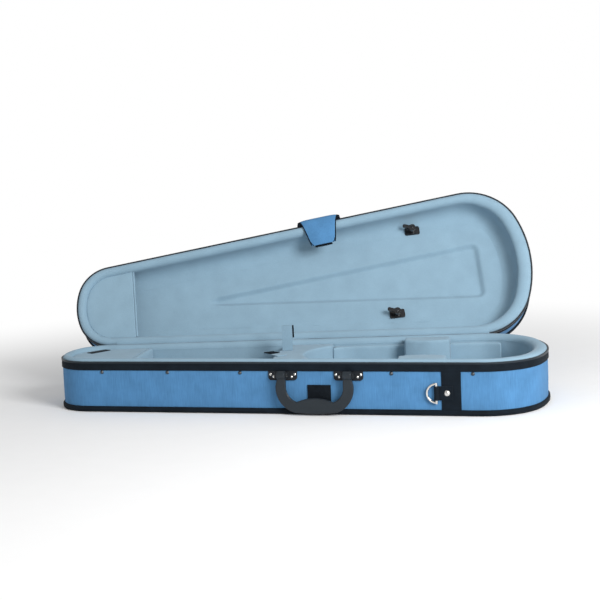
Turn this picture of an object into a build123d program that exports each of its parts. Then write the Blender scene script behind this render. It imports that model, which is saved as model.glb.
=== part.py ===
from build123d import *
from math import atan2, cos, radians, sin, sqrt, tan
import os

# Dart-shaped violin case, standing open. Millimetres.
# X runs along the centreline towards the wide end, Y towards the hinge side, Z up.
# The origin is on the underside, on the centreline, half way along the case.
# The lid is modelled closed and is then turned open about the hinge line.

# ---------------------------------------------------------------- plan outline
case_length = 780.0
mid_half_width = 103.9        # from the centreline to the side, half way along
side_taper = radians(5.34)    # each side against the centreline
narrow_end_r = 102.0
narrow_corner_r = 60.0
wide_end_r = 199.0
wide_corner_r = 91.0

# ---------------------------------------------------------------- heights
base_height = 80.0            # underside to the rim, where base and lid meet
lid_depth = 49.0              # rim to the lid's flat top
dome_height = 8.0             # raised middle of the lid
lid_open_angle = 117.4        # from closed

# ---------------------------------------------------------------- wall build-up, from outside in
tape_t = 1.5                  # how far the zip tape stands out from the cover
cover_t = 1.0                 # woven cover
core_wall_t = 12.0            # rigid foam core
lining_t = 1.5                # velour lining
wide_end_pad = 8.0            # extra core at the wide end
base_floor_t = 7.0
lid_roof_t = 6.0

tape_h = 11.0
coil_h = 2.9
coil_proud = 0.4
rim_gap = 0.1                 # from a zip coil to the plane where the halves meet
piping_h = 8.5
piping_proud = 1.5
piping_round = 1.2
hinge_band = 2.0              # depth of the strip at the hinge side that the zip leaves free

# ---------------------------------------------------------------- base, narrow end: lengths from that end
soft_gap = 0.3                # soft pieces stay this clear of pieces that move
compartment_l = 128.0         # to the middle of the wall between compartment and scroll bay
partition_t = 8.0
compartment_drop = 2.0        # from the rim down to the compartment's board
board_t = 3.0
board_clear = 1.2             # from the compartment's board to the walls
pull_tab_w = 14.0
pull_tab_l = 38.0
pull_tab_t = 0.8
pull_tab_at = (47.0, 38.84)   # from the narrow end, and in from the hinge side
pull_tab_turn = 55.0

# ---------------------------------------------------------------- violin's bed: lengths from the wide end
block_back = (428.0, 346.0)   # both ends of the neck block
bout_back = 294.0             # centre of the round upper bout
waist_back = (228.0, 154.0)   # both ends of the waist blocks
bed_back = 72.0               # where the ledges stop
block_drop = 4.0              # from the rim down to the neck block
bed_drop = 8.0                # from the rim down to the ledges
ledge_w = 9.0                 # ledge beside the violin's body
cushion_t = 12.0
waist_half_width = 57.0
waist_hollow = 9.0            # how far the waist blocks curve in
rear_waist_rise = 4.0         # past the rim
front_waist_rise = 1.0

strap_w = 17.0
strap_t = 1.4
strap_l = 41.0
strap_velcro_t = 0.9
strap_velcro_l = 20.0
strap_velcro_shift = 2.5
rear_strap_at = (14.5, 26.3)  # from the neck block's narrow end
front_strap_at = (14.0, -27.0)
front_strap_turn = 131.0      # plan direction in which it lies

# ---------------------------------------------------------------- front wall: s along it, out away from it
handle_s = 40.0               # middle of the handle
handle_span = 102.0           # between the middles of the arms
handle_arm_w = 13.5
handle_depth = 13.0
handle_round = 4.0            # how deep the rounding of the front and back edges goes
handle_taper = 38.0
handle_axis_drop = 4.6        # from the zip tape down to the pins
handle_axis_out = 9.2
handle_lug_r = 6.5
handle_drop = 59.0            # these six are measured down from the pins
handle_neck_drop = 7.5        # where the arms start to swell
handle_curve_drop = 17.5      # where the arms start to curve in
heel_drop = 57.4              # where the corners run into the underside
grip_top_drop = 35.0
grip_cusp_drop = 41.0
handle_bulge = 2.5
shoulder_sag = 0.4            # how far each curve of the outline stands off its chord
corner_sag = 8.8
cusp_sag = 4.8
heel_half_l = 31.3
grip_half_l = 28.0
pin_r = 2.0
pin_clear = 0.06
ear_t = 2.6
ear_gap = 0.35
ear_rim = 1.8                 # material round a pin
bracket_w = 45.0
bracket_h = 14.1              # below the zip tape
bracket_t = 2.0
bracket_round = 5.0
rivet_r = 2.2
rivet_h = 1.2
rivet_spots = ((-19.0, 5.1), (-14.0, 8.6), (14.0, 8.6), (19.0, 5.1))  # along, and below the zip tape

patch_shift = 5.0             # from the handle's middle
patch_w = 36.0
patch_drop = 21.1             # from the zip tape down to the patch
patch_h = 29.0
patch_t = 1.8

webbing_s = 244.8
webbing_w = 29.0
webbing_t = 1.2
ring_s = 223.0                # the D-ring's straight bar
ring_drop = 32.1              # from the zip tape down to the ring's middle
ring_wire_r = 1.8
ring_half_h = 14.0
ring_reach = 14.0
ring_clear = 0.08
tab_t = 1.6
tab_h = 21.0
tab_l = 24.0
ring_rivet_s = 238.5
ring_rivet_r = 4.8
ring_rivet_h = 2.6

stud_spots = (-306.0, -197.0, -79.0, 156.0, 277.0)
stud_r = 3.0
stud_h = 2.0
stud_drop = 0.3               # from the zip tape down to a stud's edge

slider_turn = radians(40.0)   # how far round the corner each zip slider is parked
slider_l = 11.0
slider_h = 8.0
slider_t = 3.0
slider_round = 2.0
slider_gap = 0.2
bridge_r = 0.9
bridge_clear = 0.08
bridge_ear_t = 1.4
bridge_ear_w = 4.0
bridge_out = 2.6              # from the slider's face to the bridge's axis
pull_l = 23.0
pull_w = 6.4
pull_t = 1.6
pull_knuckle_r = 2.2
pull_knuckle_l = 4.6
pull_shoulder = 2.8           # from the bridge's axis to the tongue

# ---------------------------------------------------------------- inside the lid
pocket_l = 99.0               # from the narrow end to the free edge of the bow-tip pocket
pocket_t = 3.0
pocket_depth = 3.0            # behind the rim
pocket_bead_r = 1.6
dome_inset = 72.0
dome_tip_half = 15.5          # half width of its narrow end
dome_round = 14.0
dome_slope = 40.0             # degrees off the upright
dome_shrink = 6.0             # how much smaller the hollow inside the dome is
dome_cover_grow = 1.5         # how much larger the cover over the dome is
clip_spots = {                # from the wide end, side, and in from that side
    "upper": (190.33, -1, 35.21),
    "lower": (235.44, 1, 56.25)}
clip_plate_l = 26.0
clip_plate_w = 15.0
clip_plate_t = 3.0
clip_plate_round = 3.0
clip_post_r = 4.0
clip_post_h = 12.0
clip_pin_r = 1.6
clip_pin_clear = 0.08
spinner_r = 6.0
spinner_t = 3.2
spinner_arm_l = 17.0
spinner_arm_w = 6.0
spinner_head_r = 2.6
spinner_head_h = 1.0
spinner_lift = 0.15
spinner_rest_turn = 160.0

# ---------------------------------------------------------------- closing flap on the lid's free edge
flap_s = 40.0
flap_root_w = 74.0
flap_tip_w = 38.0
flap_l = 50.0
flap_t = 2.4
flap_axis_out = 3.6
flap_axis_drop = 1.7          # past the rim plane
flap_bead_r = 1.2
flap_bead_clear = 0.08
flap_ear_t = 1.2
flap_ear_l = 8.0
flap_ear_h = 8.0
flap_anchor_h = 16.0
flap_velcro_t = 0.9
flap_velcro_l = 16.0
flap_velcro_w = 30.0
flap_velcro_edge = 2.0        # from the hook patch to the tip

# ---------------------------------------------------------------- insets and heights that follow
core_inset = tape_t + cover_t
inner_core_inset = core_inset + core_wall_t
room_inset = inner_core_inset + lining_t
floor_core_z = cover_t + base_floor_t
floor_z = floor_core_z + lining_t
bed_floor_z = floor_z + cushion_t
coil_z = base_height - coil_h
tape_z = coil_z - tape_h
narrow_x = -case_length / 2
wide_x = case_length / 2
partition_x = narrow_x + compartment_l
compartment_top = base_height - compartment_drop
block_start, block_end = [wide_x - back for back in block_back]
waist_start, waist_end = [wide_x - back for back in waist_back]
bout_x = wide_x - bout_back
bed_end = wide_x - bed_back
block_top = base_height - block_drop
bed_top = base_height - bed_drop
handle_axis_z = tape_z - handle_axis_drop
patch_z0 = tape_z - patch_drop - patch_h
ring_z = tape_z - ring_drop
pocket_x = narrow_x + pocket_l
lid_top_z = base_height + lid_depth
roof_outer_z = lid_top_z - cover_t
roof_inner_z = roof_outer_z - lid_roof_t
ceiling_z = roof_inner_z - lining_t
cover_out = -tape_t           # the cover's face, seen from the front wall's outermost plane
past = 1.0                    # how far a cutting body runs past what it cuts
far = 2 * case_length         # reaches past everything


# ================================================================ helpers
def end_centres(end_x, end_r, corner_r):
    """Centres of the end arc and of the corner arc that joins it to the side."""
    towards = 1 if end_x > 0 else -1
    slope = tan(side_taper)
    end_cx = end_x - towards * end_r
    rise = mid_half_width - corner_r / cos(side_taper)
    reach = end_r - corner_r
    a = 1 + slope ** 2
    b = slope * rise - end_cx
    c = end_cx ** 2 + rise ** 2 - reach ** 2
    corner_cx = (-b + towards * sqrt(b * b - a * c)) / a
    return (end_cx, 0.0), (corner_cx, rise + slope * corner_cx)


def half_width(x):
    """From the centreline to the outline's straight side at x."""
    return mid_half_width + x * tan(side_taper)


def polar(centre, radius, turn, flip=1):
    return (centre[0] + radius * cos(turn), flip * (centre[1] + radius * sin(turn)))


def case_face(inset=0.0, end_pad=0.0):
    """Plan outline of the case, moved in by inset, and by end_pad more at the wide end."""
    side = radians(90) + side_taper
    edges = []
    corners = []
    for end_x, end_r, corner_r, middle in (
            (wide_x - end_pad, wide_end_r, wide_corner_r, 0.0),
            (narrow_x, narrow_end_r, narrow_corner_r, radians(180))):
        end, corner = end_centres(end_x, end_r, corner_r)
        join = atan2(corner[1], corner[0] - end[0])
        radius = end_r - inset
        edges.append(ThreePointArc(polar(end, radius, join), polar(end, radius, middle),
                                   polar(end, radius, join, -1)))
        for flip in (1, -1):
            turns = (join, (join + side) / 2, side)
            edges.append(ThreePointArc(*[polar(corner, corner_r - inset, t, flip) for t in turns]))
        corners.append(polar(corner, corner_r - inset, side))
    for flip in (1, -1):
        edges.append(Line(*[(x, flip * y) for x, y in corners]))
    return make_face(edges)


def slab(face, z0, z1):
    return Pos(0, 0, z0) * extrude(face, amount=z1 - z0, dir=(0, 0, 1))


def ring(outer_inset, inner_inset, z0, z1, end_pad=0.0):
    hole = slab(case_face(inner_inset, end_pad), z0 - past, z1 + past)
    return slab(case_face(outer_inset), z0, z1) - hole


def span(x0, x1, y0, y1, z0, z1):
    return Pos((x0 + x1) / 2, (y0 + y1) / 2, (z0 + z1) / 2) * Box(x1 - x0, y1 - y0, z1 - z0)


def plate(s, width, z0, height, out0, thickness):
    """Plate flat on a wall, in that wall's own frame."""
    return Pos(s, z0 + height / 2, out0 + thickness / 2) * Box(width, height, thickness)


def rod(radius, length):
    """Cylinder along local x, centred."""
    return Rot(0, 90, 0) * Cylinder(radius, length)


def post(radius, length):
    """Cylinder along local y, centred."""
    return Rot(90, 0, 0) * Cylinder(radius, length)


def wall_plane(x, y, turn):
    """Frame on an upright wall: local x along it, local y up, local z outwards."""
    return Plane(origin=(x, y, 0), x_dir=(-sin(turn), cos(turn), 0), z_dir=(cos(turn), sin(turn), 0))


front = wall_plane(0, -mid_half_width, radians(-90) - side_taper)
rear = wall_plane(0, mid_half_width, radians(90) + side_taper)
hinge_line = Axis((0, mid_half_width, base_height), (cos(side_taper), sin(side_taper), 0))


def opened(shape):
    """Turn a piece of the closed lid to its open rest pose."""
    return shape.rotate(hinge_line, -lid_open_angle)


def hinge_side(depth):
    """Everything nearer than depth to the hinge side's outermost plane."""
    return rear * Pos(0, 0, far / 2 - depth) * Box(far, far, far)


def room(z0, z1, clear=0.0):
    """The whole room inside the lined walls."""
    return slab(case_face(room_inset + clear, wide_end_pad), z0, z1)


# ================================================================ base: core, covers and zip
def base_shell():
    shell = slab(case_face(core_inset), cover_t, base_height - lining_t)
    return shell - slab(case_face(inner_core_inset, wide_end_pad), floor_core_z, base_height)


def base_side_cover():
    return ring(tape_t, core_inset, piping_h, tape_z)


def base_bottom_cover():
    return slab(case_face(core_inset), 0, cover_t)


def edge_piping(z0, z1):
    """Piping round an outer edge, standing a little proud of the outline."""
    bead = slab(case_face(-piping_proud), z0, z1)
    levels = bead.edges().group_by(Axis.Z)
    return fillet(levels[0] + levels[-1], piping_round) - slab(case_face(core_inset), z0 - past, z1 + past)


def zip_tape(z0, z1):
    return ring(0, core_inset, z0, z1) - hinge_side(hinge_band)


def zip_coil(z0, z1):
    return ring(-coil_proud, core_inset, z0, z1) - hinge_side(hinge_band)


def hinge_tape(z0, z1):
    """Outside cloth of the hinge, flush with the outline."""
    return ring(0, core_inset, z0, z1) & hinge_side(hinge_band)


def lined_rim(z_rim, z_core, z_deep):
    """Velour over the rim from z_rim to z_core, and down the inner wall to z_deep."""
    low, high = sorted((z_rim, z_core))
    top = ring(core_inset, room_inset, low, high, wide_end_pad)
    low, high = sorted((z_core, z_deep))
    wall = slab(case_face(inner_core_inset, wide_end_pad), low, high)
    return top + (wall - slab(case_face(room_inset, wide_end_pad), low - past, high + past))


def hinge_rim():
    """The stretch of rim lining beside the hinge line, which runs on into the lid."""
    top = ring(core_inset, room_inset, base_height - lining_t, base_height, wide_end_pad)
    return top & hinge_side(inner_core_inset)


def base_rim_lining():
    return lined_rim(base_height, base_height - lining_t, floor_z) - hinge_rim()


def base_floor_lining():
    return slab(case_face(inner_core_inset, wide_end_pad), floor_core_z, floor_z)


# ================================================================ base: rooms and padding
def compartment_partition():
    half = partition_t / 2
    return room(floor_z, compartment_top) & span(
        partition_x - half, partition_x + half, -far, far, 0, base_height)


def board_hinge_x():
    return partition_x - partition_t / 2


def compartment_lid():
    cover = room(compartment_top - board_t, compartment_top, board_clear)
    return cover & span(-case_length, board_hinge_x() - soft_gap, -far, far, 0, base_height)


def compartment_pull():
    x = narrow_x + pull_tab_at[0]
    y = half_width(x) - pull_tab_at[1]
    tab = Pos(x, y, compartment_top + pull_tab_t / 2) * Rot(0, 0, pull_tab_turn)
    return tab * Box(pull_tab_l, pull_tab_w, pull_tab_t)


def violin_room(z0, z1):
    """The hollow for the violin's body: a round upper bout that opens into the wide end."""
    inset = room_inset + ledge_w
    wide = slab(case_face(inset, wide_end_pad), z0, z1) & span(bout_x, far, -far, far, z0, z1)
    bout_r = half_width(bout_x) - inset / cos(side_taper)
    return wide + Pos(bout_x, 0, (z0 + z1) / 2) * Cylinder(bout_r, z1 - z0)


def neck_block():
    block = room(floor_z, block_top) & span(block_start, block_end, -far, far, 0, base_height)
    return block - violin_room(bed_floor_z, base_height)


def body_cushion():
    return room(floor_z, bed_floor_z) & span(block_end, far, -far, far, 0, base_height)


def body_ledge(side):
    """Padding beside the violin's body, side 1 at the hinge and -1 at the front."""
    strip = room(bed_floor_z, bed_top) & span(block_end, bed_end, *sorted((0, side * far)), 0, base_height)
    return strip - violin_room(bed_floor_z - past, base_height)


def waist_block(side, top):
    """Block that fills the violin's waist on one side."""
    shoulder = waist_half_width + waist_hollow
    middle = (waist_start + waist_end) / 2
    low, high = (waist_start, side * shoulder), (waist_end, side * shoulder)
    corner_low, corner_high = (waist_start, side * far), (waist_end, side * far)
    face = make_face([ThreePointArc(low, (middle, side * waist_half_width), high),
                      Line(high, corner_high), Line(corner_high, corner_low), Line(corner_low, low)])
    return slab(face, bed_floor_z, top) & violin_room(bed_floor_z, top)


# ================================================================ base: neck straps
def strap_root(at):
    return block_start + at[0], at[1], block_top + soft_gap


def rear_strap():
    x, y, z0 = strap_root(rear_strap_at)
    return span(x - strap_w / 2, x + strap_w / 2, y, y + strap_t, z0, z0 + strap_l)


def rear_strap_loop():
    """Soft half of the hook-and-loop fastening, on the back of the upright strap."""
    x, y, z0 = strap_root(rear_strap_at)
    x += strap_velcro_shift
    y += strap_t
    z1 = z0 + strap_l
    return span(x - strap_w / 2, x + strap_w / 2, y, y + strap_velcro_t, z1 - strap_velcro_l, z1)


def front_strap_frame():
    return Pos(*strap_root(front_strap_at)) * Rot(0, 0, front_strap_turn)


def front_strap():
    return front_strap_frame() * span(0, strap_l, -strap_w / 2, strap_w / 2, 0, strap_t)


def front_strap_hook():
    return front_strap_frame() * span(strap_l - strap_velcro_l, strap_l, -strap_w / 2, strap_w / 2,
                                      strap_t, strap_t + strap_velcro_t)


# ================================================================ front wall: handle
def handle_profile():
    """Hanging handle seen square to the wall, its pins on y = 0: two arms and a crowned grip."""
    outer, inner = (handle_span + handle_arm_w) / 2, (handle_span - handle_arm_w) / 2
    neck, swell = (outer, -handle_neck_drop), (outer + handle_bulge, -handle_curve_drop)
    bend, cusp, heel = (inner, -handle_curve_drop), (grip_half_l, -grip_cusp_drop), (heel_half_l, -heel_drop)
    half = [Line((inner, 0), (outer, 0)), Line((outer, 0), neck),
            SagittaArc(neck, swell, shoulder_sag), SagittaArc(swell, heel, corner_sag),
            Line((inner, 0), bend), SagittaArc(bend, cusp, cusp_sag)]
    across = [ThreePointArc(start, (0, -middle), (-start[0], start[1]))
              for start, middle in ((heel, handle_drop), (cusp, grip_top_drop))]
    return make_face(half + [mirror(edge, about=Plane.YZ) for edge in half] + across)


def handle_places():
    return [handle_s - handle_span / 2, handle_s + handle_span / 2]


def handle():
    flat = handle_depth / 2 - handle_round
    body = extrude(handle_profile(), amount=flat, both=True)
    crown = extrude(handle_profile(), amount=handle_round, taper=handle_taper)
    body += Pos(0, 0, flat) * crown
    body += Pos(0, 0, -flat) * mirror(crown, about=Plane.XY)
    body = Pos(handle_s, handle_axis_z, handle_axis_out) * body
    for s in handle_places():
        body += Pos(s, handle_axis_z, handle_axis_out) * rod(handle_lug_r, handle_arm_w)
        body -= Pos(s, handle_axis_z, handle_axis_out) * rod(pin_r + pin_clear, handle_arm_w + 2 * past)
    return front * body


def handle_bracket(s):
    """Riveted bracket with an ear on each side of an arm."""
    base = plate(s, bracket_w, tape_z - bracket_h, bracket_h, cover_out, bracket_t)
    base = fillet(base.edges().filter_by(Axis.Z).sort_by(Axis.Y)[:2], bracket_round)
    ear_out = handle_axis_out + pin_r + ear_rim
    low = handle_axis_z - pin_r - ear_rim
    for side in (1, -1):
        middle = s + side * (handle_arm_w / 2 + ear_gap + ear_t / 2)
        base += plate(middle, ear_t, low, tape_z - low, cover_out, ear_out - cover_out)
        base -= Pos(middle, handle_axis_z, handle_axis_out) * rod(pin_r, ear_t + 2 * past)
    return front * base


def handle_pins():
    length = handle_arm_w + 2 * (ear_gap + ear_t)
    return [front * Pos(s, handle_axis_z, handle_axis_out) * rod(pin_r, length) for s in handle_places()]


def domed_rivet(radius, height):
    """Low domed head standing on local z = 0."""
    ball_r = (radius ** 2 + height ** 2) / (2 * height)
    return split(Pos(0, 0, height - ball_r) * Sphere(ball_r), bisect_by=Plane.XY, keep=Keep.TOP)


def bracket_rivets():
    heads = []
    for s in handle_places():
        for along, drop in rivet_spots:
            seat = Pos(s + along, tape_z - drop, cover_out + bracket_t)
            heads.append(front * seat * domed_rivet(rivet_r, rivet_h))
    return heads


def catch_patch():
    return front * plate(handle_s + patch_shift, patch_w, patch_z0, patch_h, cover_out, patch_t)


# ================================================================ front wall: strap, D-ring, studs
def ring_axis_out():
    return cover_out + tab_t + ring_clear + ring_wire_r


def side_webbing():
    return front * plate(webbing_s, webbing_w, piping_h, tape_z - piping_h, cover_out, webbing_t)


def ring_tab():
    """Tab on the webbing whose end is folded round the D-ring's bar."""
    bar = Pos(ring_s, ring_z, ring_axis_out())
    tongue = plate(ring_s + tab_l / 2, tab_l, ring_z - tab_h / 2, tab_h, cover_out + webbing_t, tab_t)
    loop = bar * post(ring_wire_r + ring_clear + tab_t, tab_h)
    return front * (tongue + loop - bar * post(ring_wire_r + ring_clear, tab_h + 2 * past))


def d_ring():
    bar = Edge.make_line((0, -ring_half_h), (0, ring_half_h))
    bow = ThreePointArc((0, ring_half_h), (-ring_reach, 0), (0, -ring_half_h))
    wire = sweep(Plane(origin=(0, ring_half_h, 0), z_dir=bow.tangent_at(0)) * Circle(ring_wire_r), path=bow)
    solid = wire + post(ring_wire_r, 2 * ring_half_h + 2 * ring_wire_r)
    return front * Pos(ring_s, ring_z, ring_axis_out()) * solid


def ring_rivet():
    out = cover_out + webbing_t + tab_t
    return front * Pos(ring_rivet_s, ring_z, out) * domed_rivet(ring_rivet_r, ring_rivet_h)


def rim_studs():
    z = tape_z - stud_drop - stud_r
    return [front * Pos(s, z, cover_out) * domed_rivet(stud_r, stud_h) for s in stud_spots]


# ================================================================ zip sliders at the hinge-side corners
def slider_frame(end):
    """Frame on the outline where a slider is parked, at the narrow or the wide end."""
    end_x, end_r, corner_r, towards = {
        "narrow": (narrow_x, narrow_end_r, narrow_corner_r, 1),
        "wide": (wide_x, wide_end_r, wide_corner_r, -1)}[end]
    corner = end_centres(end_x, end_r, corner_r)[1]
    turn = radians(90) + side_taper + towards * slider_turn
    return wall_plane(*polar(corner, corner_r, turn), turn)


def slider_z():
    return base_height - rim_gap - slider_h / 2


def bridge_axis_out():
    return coil_proud + slider_gap + slider_t + bridge_out


def zip_slider(end):
    """Slider body with two ears and a bridge that carries the pull."""
    face = coil_proud + slider_gap
    body = Pos(0, slider_z(), face + slider_t / 2) * Box(slider_l, slider_h, slider_t)
    body = fillet(body.edges().filter_by(Axis.Z), slider_round)
    out = bridge_axis_out()
    gap = pull_knuckle_l / 2 + bridge_clear
    for side in (1, -1):
        ear = Pos(side * (gap + bridge_ear_t / 2), slider_z(), (face + slider_t + out) / 2)
        body += ear * Box(bridge_ear_t, bridge_ear_w, out - face - slider_t + 2 * bridge_r)
    body += Pos(0, slider_z(), out) * rod(bridge_r, 2 * (gap + bridge_ear_t / 2))
    return slider_frame(end) * body


def zip_pull(end):
    """Tongue that hangs from the slider's bridge by a bored knuckle."""
    axis = Pos(0, slider_z(), bridge_axis_out())
    tongue_l = pull_l - pull_shoulder
    body = rod(pull_knuckle_r, pull_knuckle_l)
    body += Pos(0, -pull_shoulder / 2, 0) * Box(pull_knuckle_l, pull_shoulder, pull_t)
    body += Pos(0, -pull_shoulder - tongue_l / 2, 0) * Box(pull_w, tongue_l, pull_t)
    return slider_frame(end) * axis * (body - rod(bridge_r + bridge_clear, pull_knuckle_l + 2 * past))


# ================================================================ lid
def dome(z0, height, grow):
    """Raised middle of the lid: a wedge that widens towards the wide end."""
    tip_x = (dome_tip_half + dome_inset / cos(side_taper) - mid_half_width) / tan(side_taper)
    x0, x1 = tip_x - grow, wide_x - dome_inset + grow
    half = [half_width(x) - (dome_inset - grow) / cos(side_taper) for x in (x0, x1)]
    corners = [(x0, -half[0]), (x1, -half[1]), (x1, half[1]), (x0, half[0])]
    face = make_face(Polyline(*corners, close=True))
    face = fillet(face.vertices(), dome_round + grow)
    return Pos(0, 0, z0) * extrude(face, amount=height, dir=(0, 0, 1), taper=dome_slope)


def lid_shell():
    shell = slab(case_face(core_inset), base_height + lining_t, roof_outer_z)
    shell -= slab(case_face(inner_core_inset, wide_end_pad), base_height, roof_inner_z)
    shell += dome(roof_outer_z, dome_height, 0)
    return opened(shell - dome(roof_inner_z, dome_height, -dome_shrink))


def lid_side_cover():
    return opened(ring(tape_t, core_inset, base_height + coil_h + tape_h, lid_top_z - piping_h))


def lid_top_cover():
    cover = slab(case_face(core_inset), roof_outer_z, lid_top_z)
    cover += dome(roof_outer_z, dome_height + cover_t, dome_cover_grow)
    return opened(cover - dome(roof_outer_z, dome_height, 0))


def lid_rim_lining():
    return opened(lined_rim(base_height, base_height + lining_t, ceiling_z))


def lid_ceiling_lining():
    lining = slab(case_face(inner_core_inset, wide_end_pad), ceiling_z, roof_inner_z)
    lining += dome(roof_inner_z, dome_height, -dome_shrink)
    return opened(lining - dome(ceiling_z, dome_height, -dome_shrink - lining_t))


def bow_pocket():
    """Stiff panel across the narrow end, which holds the tips of the bows."""
    z0 = base_height + pocket_depth
    return opened(room(z0, z0 + pocket_t) & span(-case_length, pocket_x, -far, far, z0, z0 + pocket_t))


def bow_pocket_bead():
    z = base_height + pocket_depth + pocket_t / 2
    x = pocket_x + pocket_bead_r
    half = half_width(x) - room_inset / cos(side_taper) - pocket_bead_r
    return opened(Pos(x, 0, z) * post(pocket_bead_r, 2 * half))


def clip_frame(name):
    """Frame at a bow clip on the closed lid's ceiling, local z pointing into the case."""
    back, side, inwards = clip_spots[name]
    x = wide_x - back
    return Pos(x, side * (half_width(x) - inwards), ceiling_z) * Rot(180, 0, 0)


def bow_clip(name):
    """Plate and post that carry one bow spinner on a pin."""
    body = Pos(0, 0, clip_plate_t / 2) * Box(clip_plate_l, clip_plate_w, clip_plate_t)
    body = fillet(body.edges().filter_by(Axis.Z), clip_plate_round)
    body += Pos(0, 0, clip_plate_t + clip_post_h / 2) * Cylinder(clip_post_r, clip_post_h)
    top = clip_plate_t + clip_post_h
    length = spinner_t + 2 * spinner_lift
    body += Pos(0, 0, top + length / 2) * Cylinder(clip_pin_r, length)
    body += Pos(0, 0, top + length) * domed_rivet(spinner_head_r, spinner_head_h)
    return opened(clip_frame(name) * body)


def bow_spinner(name):
    """Turning arm that closes over a bow stick."""
    reach = spinner_arm_l - spinner_arm_w / 2
    arm = Pos(reach / 2, 0, 0) * SlotCenterToCenter(reach, spinner_arm_w)
    body = Cylinder(spinner_r, spinner_t) + extrude(arm, amount=spinner_t / 2, both=True)
    body -= Cylinder(clip_pin_r + clip_pin_clear, 2 * spinner_t)
    z = clip_plate_t + clip_post_h + spinner_lift + spinner_t / 2
    return opened(clip_frame(name) * Pos(0, 0, z) * Rot(0, 0, spinner_rest_turn) * body)


# ================================================================ closing flap
def flap_axis_z():
    return base_height - flap_axis_drop


def flap_anchor():
    """Root of the flap: sewn to the lid's wall, with a loop at each end of the bead."""
    z0 = base_height + coil_h + tape_h
    body = plate(flap_s, flap_root_w, z0, flap_anchor_h, cover_out, flap_ear_t)
    r_out = flap_bead_r + flap_bead_clear + flap_ear_t
    for side in (1, -1):
        s = flap_s + side * (flap_root_w / 2 - flap_ear_l / 2)
        body += plate(s, flap_ear_l, z0, flap_ear_h, cover_out, flap_axis_out - cover_out)
        reach = z0 + flap_ear_h - flap_axis_z()
        body += plate(s, flap_ear_l, flap_axis_z(), reach, flap_axis_out - flap_ear_t, flap_ear_t)
        body += Pos(s, flap_axis_z(), flap_axis_out) * rod(r_out, flap_ear_l)
        bore = rod(flap_bead_r + flap_bead_clear, flap_ear_l + 2 * past)
        body -= Pos(s, flap_axis_z(), flap_axis_out) * bore
    return opened(front * body)


def flap_turned(shape):
    """Lay a hanging flap piece over the rim, in the closed lid's frame, then open the lid."""
    frame = Pos(flap_s, flap_axis_z(), flap_axis_out) * Rot(90, 0, 0)
    return opened(front * frame * shape)


def flap_outline(length, root_w, tip_w):
    corners = [(-root_w / 2, 0), (-tip_w / 2, -length), (tip_w / 2, -length), (root_w / 2, 0)]
    return make_face(Polyline(*corners, close=True))


def closing_flap():
    """Tongue whose rolled edge turns in the anchor's loops."""
    root_w = flap_root_w - 2 * (flap_bead_clear + flap_ear_l)
    tongue = extrude(flap_outline(flap_l, root_w, flap_tip_w), amount=flap_t / 2, both=True)
    return flap_turned(rod(flap_bead_r, flap_root_w) + tongue)


def flap_hook():
    """Hook side of the fastening, on the face that meets the catch patch."""
    along = -flap_l + flap_velcro_l / 2 + flap_velcro_edge
    patch = Box(flap_velcro_w, flap_velcro_l, flap_velcro_t)
    return flap_turned(Pos(0, along, -(flap_t + flap_velcro_t) / 2) * patch)


# ================================================================ write the pieces
def build():
    left, right = handle_places()
    lid_tape = (base_height + coil_h, base_height + coil_h + tape_h)
    return {
        "base_shell": base_shell(),
        "base_side_cover": base_side_cover(),
        "base_bottom_cover": base_bottom_cover(),
        "base_piping": edge_piping(0, piping_h),
        "base_zip_tape": zip_tape(tape_z, coil_z),
        "base_zip_coil": zip_coil(coil_z, base_height - rim_gap),
        "base_hinge_tape": hinge_tape(tape_z, base_height),
        "base_rim_lining": base_rim_lining(),
        "hinge_lining": hinge_rim(),
        "base_floor_lining": base_floor_lining(),
        "compartment_partition": compartment_partition(),
        "compartment_lid": compartment_lid(),
        "compartment_pull": compartment_pull(),
        "neck_block": neck_block(),
        "body_cushion": body_cushion(),
        "body_ledge_rear": body_ledge(1),
        "body_ledge_front": body_ledge(-1),
        "waist_block_rear": waist_block(1, base_height + rear_waist_rise),
        "waist_block_front": waist_block(-1, base_height + front_waist_rise),
        "neck_strap_rear": rear_strap(),
        "neck_strap_rear_loop": rear_strap_loop(),
        "neck_strap_front": front_strap(),
        "neck_strap_front_hook": front_strap_hook(),
        "handle": handle(),
        "handle_bracket_left": handle_bracket(left),
        "handle_bracket_right": handle_bracket(right),
        "handle_pins": handle_pins(),
        "bracket_rivets": bracket_rivets(),
        "flap_catch_patch": catch_patch(),
        "side_webbing": side_webbing(),
        "ring_tab": ring_tab(),
        "d_ring": d_ring(),
        "ring_rivet": ring_rivet(),
        "rim_studs": rim_studs(),
        "zip_slider_narrow": zip_slider("narrow"),
        "zip_slider_wide": zip_slider("wide"),
        "zip_pull_narrow": zip_pull("narrow"),
        "zip_pull_wide": zip_pull("wide"),
        "lid_shell": lid_shell(),
        "lid_side_cover": lid_side_cover(),
        "lid_top_cover": lid_top_cover(),
        "lid_piping": opened(edge_piping(lid_top_z - piping_h, lid_top_z)),
        "lid_zip_tape": opened(zip_tape(*lid_tape)),
        "lid_zip_coil": opened(zip_coil(base_height + rim_gap, base_height + coil_h)),
        "lid_hinge_tape": opened(hinge_tape(base_height, base_height + coil_h + tape_h)),
        "lid_rim_lining": lid_rim_lining(),
        "lid_ceiling_lining": lid_ceiling_lining(),
        "bow_pocket": bow_pocket(),
        "bow_pocket_bead": bow_pocket_bead(),
        "bow_clip_upper": bow_clip("upper"),
        "bow_clip_lower": bow_clip("lower"),
        "bow_spinner_upper": bow_spinner("upper"),
        "bow_spinner_lower": bow_spinner("lower"),
        "flap_anchor": flap_anchor(),
        "closing_flap": closing_flap(),
        "flap_hook": flap_hook(),
    }


def main():
    os.makedirs("parts", exist_ok=True)
    for node, shape in build().items():
        solids = Compound(children=shape) if isinstance(shape, list) else shape
        export_step(solids, f"parts/{node}.step")


main()
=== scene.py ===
import math

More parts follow.
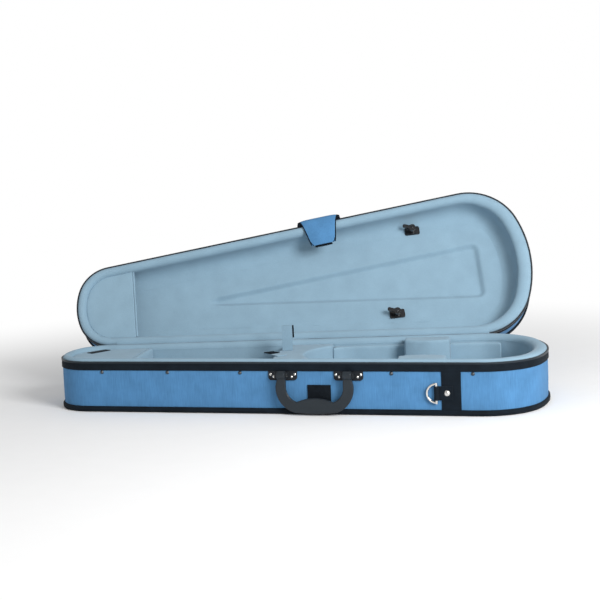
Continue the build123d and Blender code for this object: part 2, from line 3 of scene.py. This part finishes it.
import bpy
import numpy as np
from mathutils import Matrix, Vector, noise


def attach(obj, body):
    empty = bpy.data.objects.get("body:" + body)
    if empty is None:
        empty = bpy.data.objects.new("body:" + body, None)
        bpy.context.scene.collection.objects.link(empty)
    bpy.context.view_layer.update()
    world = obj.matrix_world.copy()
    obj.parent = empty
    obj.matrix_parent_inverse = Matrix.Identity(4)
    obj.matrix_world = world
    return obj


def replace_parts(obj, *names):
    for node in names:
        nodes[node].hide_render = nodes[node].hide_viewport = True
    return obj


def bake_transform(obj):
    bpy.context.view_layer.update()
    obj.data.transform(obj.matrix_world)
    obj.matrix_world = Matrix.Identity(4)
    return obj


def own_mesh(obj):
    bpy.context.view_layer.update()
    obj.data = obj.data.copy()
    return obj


# Looks of the open violin case round its CAD frame. Sizes are in millimetres until a mesh is made.
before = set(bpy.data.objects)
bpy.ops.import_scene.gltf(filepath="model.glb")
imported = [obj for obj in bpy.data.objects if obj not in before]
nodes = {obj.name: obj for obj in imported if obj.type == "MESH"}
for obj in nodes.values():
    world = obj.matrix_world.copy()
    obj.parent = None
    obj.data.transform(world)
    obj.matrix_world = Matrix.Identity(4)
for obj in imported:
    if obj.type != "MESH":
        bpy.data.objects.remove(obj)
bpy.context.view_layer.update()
MM = 0.001

# ---------------------------------------------------------------- the case's own sizes
HALF_L, MID_HALF_W = 390.0, 103.9     # half the length, and half the width at mid-length
TAPER = math.radians(5.34)            # each side against the centreline
ENDS = ((HALF_L, 199.0, 91.0), (-HALF_L, 102.0, 60.0))    # each end's x, end radius and corner radius
RIM_Z, LID_TOP_Z = 80.0, 129.0
LID_OPEN_ANGLE = 117.4                # degrees from closed
END_PAD = 8                           # extra thickness of the wall at the wide end
HINGE_BAND = 2.0                      # depth of the strip at the hinge side that the zip leaves free
DOME_INSET, DOME_ROUND, DOME_TIP_X = 72.0, 14.0, -172.1   # the lid's raised middle
FLAP_S = 40                           # middle of the closing flap, along the front wall

# ---------------------------------------------------------------- how finely meshes are cut
ARC_STEPS = ((14, 18), (12, 16))      # on the end arc and the corner arc, at the wide and the narrow end
SIDE_STEPS = 91
LOFT_WAVE, CAP_WAVE, STRIP_WAVE = 26, 30, 20    # size of the cloth's unevenness

HINGE_DIR = Vector((math.cos(TAPER), math.sin(TAPER), 0))
HINGE_AT = Vector((0, MID_HALF_W * MM, RIM_Z * MM))
OPEN = (Matrix.Translation(HINGE_AT) @ Matrix.Rotation(math.radians(-LID_OPEN_ANGLE), 4, HINGE_DIR)
        @ Matrix.Translation(-HINGE_AT))


# ================================================================ outline and lofts
def half_width(x):
    """From the centreline to the straight side at x."""
    return MID_HALF_W + x * math.tan(TAPER)


def end_arcs(end_x, end_r, corner_r):
    """Centres of the end arc and of the corner arc that joins it to the side."""
    towards = 1 if end_x > 0 else -1
    slope = math.tan(TAPER)
    cx = end_x - towards * end_r
    rise = MID_HALF_W - corner_r / math.cos(TAPER)
    a, b = 1 + slope ** 2, slope * rise - cx
    c = cx ** 2 + rise ** 2 - (end_r - corner_r) ** 2
    kx = (-b + towards * math.sqrt(b * b - a * c)) / a
    return cx, (kx, rise + slope * kx)


def arc_points(cx, cy, radius, turns):
    return [(cx + radius * math.cos(t), cy + radius * math.sin(t)) for t in turns]


def outline(inset=0.0, pad=0.0):
    """Anticlockwise from the middle of the wide end, with the same count for every inset."""
    side = math.radians(90) + TAPER
    parts = []
    for (end_x, end_r, corner_r), counts in zip(ENDS, ARC_STEPS):
        wide = end_x > 0
        cx, (kx, ky) = end_arcs(end_x - (pad if wide else 0), end_r, corner_r)
        join = math.atan2(ky, kx - cx)
        ends = np.linspace(0 if wide else math.pi, join, counts[0] + 1)
        turns = np.linspace(join, side, counts[1] + 1)[1:]
        parts.append(np.array(arc_points(cx, 0, end_r - inset, ends)
                              + arc_points(kx, ky, corner_r - inset, turns)))
    wide, narrow = parts
    steps = np.linspace(0, 1, SIDE_STEPS + 1)[1:-1, None]
    half = np.vstack([wide, wide[-1] + (narrow[-1] - wide[-1]) * steps, narrow[::-1]])
    return np.vstack([half, half[-2:0:-1] * (1, -1)])


def wavy(points, amount, scale):
    """Soft unevenness of cloth over foam."""
    if not amount:
        return points
    shift = [amount * noise.noise(Vector(p) / scale) for p in points]
    return points + np.outer(shift, (0.3, 0.3, 1.0))


def new_object(name, verts, faces, body, material, opened=False, smooth=50):
    """Mesh object from points in millimetres. opened turns a piece of the closed lid to its open pose."""
    mesh = bpy.data.meshes.new(name)
    mesh.from_pydata((np.asarray(verts) * MM).tolist(), [], faces)
    mesh.validate()
    obj = bpy.data.objects.new(name, mesh)
    bpy.context.scene.collection.objects.link(obj)
    if opened:
        mesh.transform(OPEN)
    return finish_piece(obj, body, material, smooth)


def finish_piece(obj, body, material, smooth=50):
    """Shading, material and body. Edges sharper than smooth degrees stay sharp."""
    mesh = obj.data
    mesh.update()
    mesh.polygons.foreach_set("use_smooth", [True] * len(mesh.polygons))
    mesh.set_sharp_from_angle(angle=math.radians(smooth))
    mesh.materials.clear()
    mesh.materials.append(material)
    if body:
        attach(obj, body)
    return obj


def loft(name, rows, body, material, opened=False, closed=True, skip=None, wave=0.0, smooth=50):
    """Rows of (inset, z) or (inset, z, pad) swept round the outline. skip leaves out what it is true for."""
    rows = [(*row, 0)[:3] for row in rows]
    loops = [np.column_stack([outline(i, p), np.full(len(outline()), z)]) for i, z, p in rows]
    n = len(loops[0])
    verts = wavy(np.vstack(loops), wave, LOFT_WAVE)
    base = outline()
    keep = [not (skip and skip(*base[c]) and skip(*base[(c + 1) % n])) for c in range(n)]
    rounds = len(rows) if closed else len(rows) - 1
    faces = []
    for r in range(rounds):
        s = (r + 1) % len(rows)
        faces += [(r * n + c, r * n + (c + 1) % n, s * n + (c + 1) % n, s * n + c)
                  for c in range(n) if keep[c]]
    return new_object(name, verts, faces, body, material, opened, smooth)


def flat(x, y):
    return 0.0


def cap(name, inset, pad, height, body, material, opened=False, across=72, wave=0.0, z=0.0):
    """Sheet across the outline, whose height is z + height(x, y)."""
    loop = outline(inset, pad)
    half = len(loop) // 2 + 1
    cols = loop[:half]
    verts = [(x, y * t, z + height(x, y * t)) for x, y in cols for t in np.linspace(1, -1, across + 1)]
    row = across + 1
    faces = [(c * row + k, (c + 1) * row + k, (c + 1) * row + k + 1, c * row + k + 1)
             for c in range(half - 1) for k in range(across)]
    return new_object(name, wavy(np.array(verts), wave, CAP_WAVE), faces, body, material, opened)


# ================================================================ materials
BROAD = 22        # how much broader the slow change of colour is than the fine one


def ramp_colour(colour, share):
    return tuple(min(1.0, c * share) for c in colour) + (1.0,)


def material(name, colour, roughness, scale, spread=0.12, bump=0.15, sheen=0.0, metallic=0.0,
             weave=(1, 1, 1), coat=0.0, depth=0.0004, specular=0.5):
    """Colour that wanders by spread either way, over fine relief. weave stretches the fine pattern."""
    m = bpy.data.materials.new(name)
    m.use_nodes = True
    tree, nt = m.node_tree, m.node_tree.nodes
    shader = nt["Principled BSDF"]
    coords = nt.new("ShaderNodeTexCoord")
    fine, broad = nt.new("ShaderNodeTexNoise"), nt.new("ShaderNodeTexNoise")
    fine.inputs["Scale"].default_value, broad.inputs["Scale"].default_value = scale, scale / BROAD
    fine.inputs["Detail"].default_value = 6
    stretch = nt.new("ShaderNodeMapping")
    stretch.inputs["Scale"].default_value = weave
    tree.links.new(coords.outputs["Object"], stretch.inputs[0])
    tree.links.new(stretch.outputs[0], fine.inputs["Vector"])
    tree.links.new(coords.outputs["Object"], broad.inputs["Vector"])
    both = nt.new("ShaderNodeMath")
    both.operation = "ADD"
    tree.links.new(fine.outputs["Fac"], both.inputs[0])
    tree.links.new(broad.outputs["Fac"], both.inputs[1])
    half = nt.new("ShaderNodeMath")
    half.operation, half.inputs[1].default_value = "MULTIPLY", 0.5
    tree.links.new(both.outputs[0], half.inputs[0])
    ramp = nt.new("ShaderNodeValToRGB")
    ramp.color_ramp.elements[0].position, ramp.color_ramp.elements[1].position = 0.32, 0.68
    ramp.color_ramp.elements[0].color = ramp_colour(colour, 1 - spread)
    ramp.color_ramp.elements[1].color = ramp_colour(colour, 1 + spread)
    tree.links.new(half.outputs[0], ramp.inputs[0])
    tree.links.new(ramp.outputs[0], shader.inputs["Base Color"])
    relief = nt.new("ShaderNodeBump")
    relief.inputs["Strength"].default_value, relief.inputs["Distance"].default_value = bump, depth
    tree.links.new(fine.outputs["Fac"], relief.inputs["Height"])
    tree.links.new(relief.outputs[0], shader.inputs["Normal"])
    for socket, value in (("Roughness", roughness), ("Metallic", metallic), ("Sheen Weight", sheen),
                          ("Sheen Roughness", 0.5), ("Coat Weight", coat), ("Specular IOR Level", specular)):
        shader.inputs[socket].default_value = value
    return m


BLUE = material("blue_cover", (0.07, 0.20, 0.385), 0.75, 900, 0.16, 0.5, 0.04,
                weave=(1, 1, 0.06), specular=0.12)
VELOUR = material("velour", (0.235, 0.355, 0.445), 0.95, 700, 0.07, 0.4, 0.12, specular=0.06)
BLACK = material("black_binding", (0.006, 0.010, 0.015), 0.8, 1400, 0.3, 0.5, 0.03, specular=0.08)
COIL = material("zip_coil", (0.014, 0.02, 0.027), 0.38, 1200, 0.2, 0.2, specular=0.25)
VELCRO = material("strap_velcro", (0.009, 0.012, 0.016), 0.95, 2200, 0.4, 0.9,
                  depth=0.0008, specular=0.05)
LEATHER = material("handle_leather", (0.014, 0.02, 0.026), 0.36, 800, 0.2, 0.35,
                   coat=0.1, specular=0.28)
PLASTIC = material("bracket_plastic", (0.012, 0.015, 0.019), 0.5, 600, 0.15, 0.15, specular=0.2)
GLOSSY = material("clip_plastic", (0.012, 0.013, 0.015), 0.22, 300, 0.15, 0.05)
NICKEL = material("nickel", (0.74, 0.73, 0.70), 0.22, 900, 0.06, 0.06, metallic=1.0)
STUD = material("dark_stud", (0.10, 0.11, 0.12), 0.3, 900, 0.1, 0.06, metallic=1.0)
FOAM = material("foam_core", (0.03, 0.035, 0.04), 0.9, 500, 0.1, 0.3)


# ================================================================ base
def beside_hinge(x, y):
    """In the strip at the hinge side that the zip leaves free."""
    return y > 0 and y * math.cos(TAPER) - x * math.sin(TAPER) > MID_HALF_W * math.cos(TAPER) - HINGE_BAND


PIPE = ((2.6, 0.1), (-0.3, 0.3), (-1.4, 1.6), (-1.6, 4.3), (-1.4, 7.0), (-0.3, 8.4), (2.6, 8.6))
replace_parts(loft(
    "base_side_cloth", ((2.6, 8), (1.5, 8), (1.2, 20), (1.1, 38), (1.2, 54), (1.5, 66.2), (2.6, 66.2)),
    "base", BLUE, wave=0.25), "base_side_cover")
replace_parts(loft("base_edge_piping", PIPE, "base", BLACK), "base_piping")
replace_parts(loft(
    "base_tape_cloth", ((2.6, 66), (0.3, 66), (-0.1, 66.8), (0.1, 70), (-0.1, 72.4), (0.3, 73),
                        (0.1, 77.1), (2.6, 77.1)),
    "base", BLACK, skip=beside_hinge, smooth=30), "base_zip_tape")

# Rim pads: velour over foam, crowned past the plane where the halves meet.
PAD = ((2.6, 77.6, 0), (2.1, 79, 0), (2.8, 81.2, 1), (4.8, 83.2, 2), (8, 84, 4), (11.4, 83.3, 6),
       (14.3, 81.3, 7), (16.2, 78.4, 8), (17, 74.5, 8), (14.9, 74.5, 8), (14.3, 78.8, 8))


def mirrored(rows):
    """Rows of the base's rim as rows of the closed lid's."""
    return [(i, 2 * RIM_Z - z, p) for i, z, p in rows]


base_rim = loft("base_rim_pad", PAD, "base", VELOUR, wave=0.35)
lid_rim = loft("lid_rim_pad", mirrored(PAD), "lid", VELOUR, opened=True, wave=0.35)
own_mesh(base_rim)
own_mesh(lid_rim)
BASE_WALL = ((16.6, 77), (16.4, 60), (16.3, 40), (16.4, 20), (18, 12), (22, 9.7))
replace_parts(loft(
    "base_wall_velour", [(*row, END_PAD) for row in BASE_WALL], "base", VELOUR,
    closed=False, wave=0.3), "base_rim_lining")
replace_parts(cap(
    "base_floor_velour", 21, END_PAD, flat, "base", VELOUR, z=9.8, wave=0.3), "base_floor_lining")


def soft_block(node, body, voxel, rounds, look=VELOUR):
    """A CAD block as a padded piece: remeshed in voxels of that many millimetres, its edges rounded."""
    obj = nodes[node].copy()
    obj.data = nodes[node].data.copy()
    obj.parent = None
    obj.matrix_world = nodes[node].matrix_world.copy()
    bpy.context.scene.collection.objects.link(obj)
    remesh = obj.modifiers.new("remesh", "REMESH")
    remesh.mode, remesh.voxel_size = "VOXEL", voxel * MM
    soft = obj.modifiers.new("soft", "SMOOTH")
    soft.factor, soft.iterations = 0.5, rounds
    bpy.context.view_layer.update()
    mesh = bpy.data.meshes.new_from_object(obj.evaluated_get(bpy.context.evaluated_depsgraph_get()))
    bpy.data.objects.remove(obj)
    made = bpy.data.objects.new(node + "_pad", mesh)
    bpy.context.scene.collection.objects.link(made)
    mesh.transform(nodes[node].matrix_world)
    finish_piece(made, body, look, 80)
    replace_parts(made, node)


for node in ("compartment_partition", "neck_block", "body_cushion", "body_ledge_rear", "body_ledge_front",
             "waist_block_rear", "waist_block_front"):
    soft_block(node, "base", 2.6, 5)
soft_block("compartment_lid", "compartment_lid", 1.2, 3)
soft_block("handle", "handle", 1.0, 5, LEATHER)

# ================================================================ lid
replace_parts(loft(
    "lid_side_cloth", ((2.6, 93.8), (1.5, 93.8), (1.2, 105), (1.5, 121), (2.6, 121)),
    "lid", BLUE, opened=True, wave=0.2), "lid_side_cover")
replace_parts(loft(
    "lid_edge_piping", [(i, LID_TOP_Z - z) for i, z in PIPE], "lid", BLACK,
    opened=True), "lid_piping")
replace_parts(loft(
    "lid_tape_cloth", ((2.6, 94), (0.3, 94), (-0.1, 93.2), (0.1, 90), (-0.1, 87.6), (0.3, 87),
                       (0.1, 82.9), (2.6, 82.9)),
    "lid", BLACK, opened=True, skip=beside_hinge, smooth=30), "lid_zip_tape")


def raised(x, y, inset, run):
    """0 outside the lid's raised middle and 1 on it, over a slope run wide that starts inset in."""
    edge = (half_width(x) - abs(y)) * math.cos(TAPER) - inset
    ends = min(HALF_L - x - inset, x - (DOME_TIP_X + inset - DOME_INSET))
    a, b = max(0.0, edge), max(0.0, ends)
    r = DOME_ROUND
    near = min(a, b) if max(a, b) > r else r - math.hypot(r - min(a, r), r - min(b, r))
    t = min(1.0, max(0.0, near / run))
    return t * t * (3 - 2 * t)


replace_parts(cap(
    "lid_top_cloth", 2.4, 0, lambda x, y: 8.0 * raised(x, y, 70.5, 9.0), "lid", BLUE,
    opened=True, z=LID_TOP_Z + 0.2, across=96, wave=0.2), "lid_top_cover")
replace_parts(cap("base_underside", 2.4, 0, flat, "base", BLUE, z=0.05), "base_bottom_cover")
LID_WALL = ((16.6, 83), (16.4, 92), (16.7, 100), (18.5, 107), (22, 113), (27, 117.3), (33, 119.4),
            (41, 120.2))
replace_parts(loft(
    "lid_wall_velour", [(*row, END_PAD) for row in LID_WALL], "lid", VELOUR,
    opened=True, closed=False, wave=0.4), "lid_rim_lining")
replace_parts(cap(
    "lid_ceiling_velour", 40, END_PAD, lambda x, y: 7.2 * raised(x, y, 80.0, 9.0), "lid", VELOUR,
    opened=True, z=120.1, across=96, wave=0.5), "lid_ceiling_lining")
soft_block("bow_pocket", "lid", 1.2, 3)


# ================================================================ velour strip across the hinge
def in_from_hinge(s, w, z):
    """Point s along the hinge line and w in from it."""
    return Vector((s * math.cos(TAPER) + w * math.sin(TAPER),
                   MID_HALF_W + s * math.sin(TAPER) - w * math.cos(TAPER), z))


def hinge_strip():
    """Velour from the base's rim, across the hinge line, to the open lid's rim."""
    base_pts = [(9, 84.2), (5.5, 84.0), (2.5, 83.0), (0.8, 81.6)]
    verts, cols = [], np.linspace(-325, 300, 140)
    for s in cols:
        verts += [in_from_hinge(s, w, z) for w, z in base_pts]
        verts += [(OPEN @ (in_from_hinge(s, w, 2 * RIM_Z - z) * MM)) / MM for w, z in base_pts[::-1]]
    row = 2 * len(base_pts)
    faces = [(c * row + k, c * row + k + 1, (c + 1) * row + k + 1, (c + 1) * row + k)
             for c in range(len(cols) - 1) for k in range(row - 1)]
    strip = new_object("hinge_velour", wavy(np.array(verts), 0.25, STRIP_WAVE), faces, None, VELOUR)
    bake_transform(strip)
    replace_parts(strip, "hinge_lining")


hinge_strip()


# ================================================================ closing flap
def on_front(s, z, out):
    """Point on the front wall: s along it, out away from it, in the closed case's frame."""
    t = -math.pi / 2 - TAPER
    along, away = (-math.sin(t), math.cos(t)), (math.cos(t), math.sin(t))
    return (s * along[0] + out * away[0], -MID_HALF_W + s * along[1] + out * away[1], z)


# (out, z) down the tongue: off the lid's wall, over the fold, along the rim
FLAP_LINE = ((-0.2, 104), (0.4, 98), (2.4, 92), (5.6, 86), (7.4, 80.5), (6.4, 76.2), (2.5, 74.2),
             (-4, 73.4), (-13, 73.2), (-24, 73.8), (-34, 75), (-42, 76.4))


def tongue(name, root_half, grow, look, count=22):
    """Flap of half thickness grow, thinner at its edges, that narrows after its first quarter."""
    verts = []
    pts = [Vector(p) for p in FLAP_LINE]
    for face in (1, -1):
        for i, p in enumerate(pts):
            d = (pts[min(i + 1, len(pts) - 1)] - pts[max(i - 1, 0)]).normalized()
            normal = Vector((-d.y, d.x))
            t = i / (len(pts) - 1)
            h = root_half - 17 * max(0.0, t - 0.25) / 0.75
            for k in np.linspace(-1, 1, count):
                edge = 1 - 0.75 * abs(k) ** 6 - (0.6 if i == len(pts) - 1 else 0)
                q = p + normal * face * grow * edge
                verts.append(on_front(FLAP_S + h * k, q.y, q.x))
    n, row = len(pts), count
    faces = []
    for i in range(n - 1):
        for k in range(count - 1):
            a = i * row + k
            faces.append((a, a + 1, a + row + 1, a + row))
            b = n * row + a
            faces.append((b, b + row, b + row + 1, b + 1))
    rim = list(range(count)) + [i * row + count - 1 for i in range(1, n)] \
        + [(n - 1) * row + k for k in range(count - 2, -1, -1)] + [i * row for i in range(n - 2, 0, -1)]
    faces += [(a, b, b + n * row, a + n * row) for a, b in zip(rim, rim[1:] + rim[:1])]
    return new_object(name, np.array(verts), faces, None, look, opened=True)


flap = tongue("closing_flap_cloth", 37, 1.9, BLUE)
edge = tongue("closing_flap_binding", 38.4, 1.2, BLACK)
for piece in (flap, edge):
    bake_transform(piece)
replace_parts(flap, "closing_flap")

# ================================================================ CAD pieces that stay as they are
NODE_LOOKS = (
    (FOAM, "base_shell lid_shell"),
    (BLACK, "base_hinge_tape lid_hinge_tape side_webbing ring_tab flap_anchor compartment_pull"),
    (COIL, "base_zip_coil lid_zip_coil"),
    (VELOUR, "neck_strap_rear neck_strap_front bow_pocket_bead"),
    (VELCRO, "neck_strap_rear_loop neck_strap_front_hook flap_catch_patch flap_hook"),
    (PLASTIC, "handle_bracket_left handle_bracket_right"),
    (NICKEL, "handle_pins bracket_rivets d_ring ring_rivet"),
    (STUD, "rim_studs zip_slider_narrow zip_slider_wide zip_pull_narrow zip_pull_wide"),
    (GLOSSY, "bow_clip_upper bow_clip_lower bow_spinner_upper bow_spinner_lower"))
for look, names in NODE_LOOKS:
    for name in names.split():
        nodes[name].data.materials.clear()
        nodes[name].data.materials.append(look)

# ================================================================ floor, light and camera
FLOOR_HALF, FLOOR_DROP = 9, 0.0006
floor_mesh = bpy.data.meshes.new("floor")
corners = [(x * FLOOR_HALF, y * FLOOR_HALF, 0) for x, y in ((-1, -1), (1, -1), (1, 1), (-1, 1))]
floor_mesh.from_pydata(corners, [], [(0, 1, 2, 3)])
floor = bpy.data.objects.new("floor", floor_mesh)
bpy.context.scene.collection.objects.link(floor)
floor.location.z = -FLOOR_DROP
paint = material("floor_paint", (0.93, 0.93, 0.93), 0.9, 30, 0.01, 0.02)
floor_mesh.materials.append(paint)

# Near the case the floor takes its shadow, and further off it fades to the white of the background.
fl = paint.node_tree
geometry, far_off = fl.nodes.new("ShaderNodeNewGeometry"), fl.nodes.new("ShaderNodeVectorMath")
far_off.operation = "LENGTH"
fade, white, mix = [fl.nodes.new("ShaderNode" + kind) for kind in ("MapRange", "Emission", "MixShader")]
fade.inputs["From Min"].default_value, fade.inputs["From Max"].default_value = 0.45, 1.3
fade.interpolation_type = "SMOOTHSTEP"
fl.links.new(geometry.outputs["Position"], far_off.inputs[0])
fl.links.new(far_off.outputs["Value"], fade.inputs["Value"])
fl.links.new(fade.outputs["Result"], mix.inputs[0])
fl.links.new(fl.nodes["Principled BSDF"].outputs[0], mix.inputs[1])
fl.links.new(white.outputs[0], mix.inputs[2])
fl.links.new(mix.outputs[0], fl.nodes["Material Output"].inputs["Surface"])


def area_light(name, at, target, size, power):
    data = bpy.data.lights.new(name, "AREA")
    data.shape, data.size, data.energy = "SQUARE", size, power
    lamp = bpy.data.objects.new(name, data)
    lamp.location = at
    lamp.rotation_euler = (Vector(target) - Vector(at)).to_track_quat("-Z", "Y").to_euler()
    bpy.context.scene.collection.objects.link(lamp)


area_light("key", (1.35, -1.35, 0.95), (0, 0, 0.12), 0.8, 44)
area_light("fill", (-2.4, -2.0, 1.5), (0, 0, 0.1), 2.2, 3)

# The background is white to the camera, and its light on the case is softer.
world = bpy.data.worlds.new("world")
bpy.context.scene.world = world
world.use_nodes = True
wt = world.node_tree
path, seen = wt.nodes.new("ShaderNodeLightPath"), wt.nodes.new("ShaderNodeMath")
seen.operation = "MAXIMUM"
wt.links.new(path.outputs["Is Camera Ray"], seen.inputs[0])
wt.links.new(path.outputs["Is Transmission Ray"], seen.inputs[1])
level = wt.nodes.new("ShaderNodeMapRange")
level.inputs["To Min"].default_value, level.inputs["To Max"].default_value = 0.52, 1.0
wt.links.new(seen.outputs[0], level.inputs["Value"])
wt.nodes["Background"].inputs["Color"].default_value = (1, 1, 1, 1)
wt.links.new(level.outputs["Result"], wt.nodes["Background"].inputs["Strength"])

CAMERA_AT = (0.316, -1.962, 0.405)
CAMERA_YAW, CAMERA_DOWN, CAMERA_ROLL = 9.03, 6.99, -2.37      # degrees
camera_data = bpy.data.cameras.new("camera")
camera_data.lens, camera_data.sensor_width = 75.7, 36
camera = bpy.data.objects.new("camera", camera_data)
bpy.context.scene.collection.objects.link(camera)
camera.matrix_world = (Matrix.Translation(CAMERA_AT) @ Matrix.Rotation(math.radians(CAMERA_YAW), 4, "Z")
                       @ Matrix.Rotation(math.radians(90 - CAMERA_DOWN), 4, "X")
                       @ Matrix.Rotation(math.radians(CAMERA_ROLL), 4, "Z"))
bpy.context.scene.camera = camera
bpy.context.scene.view_settings.view_transform = "Standard"
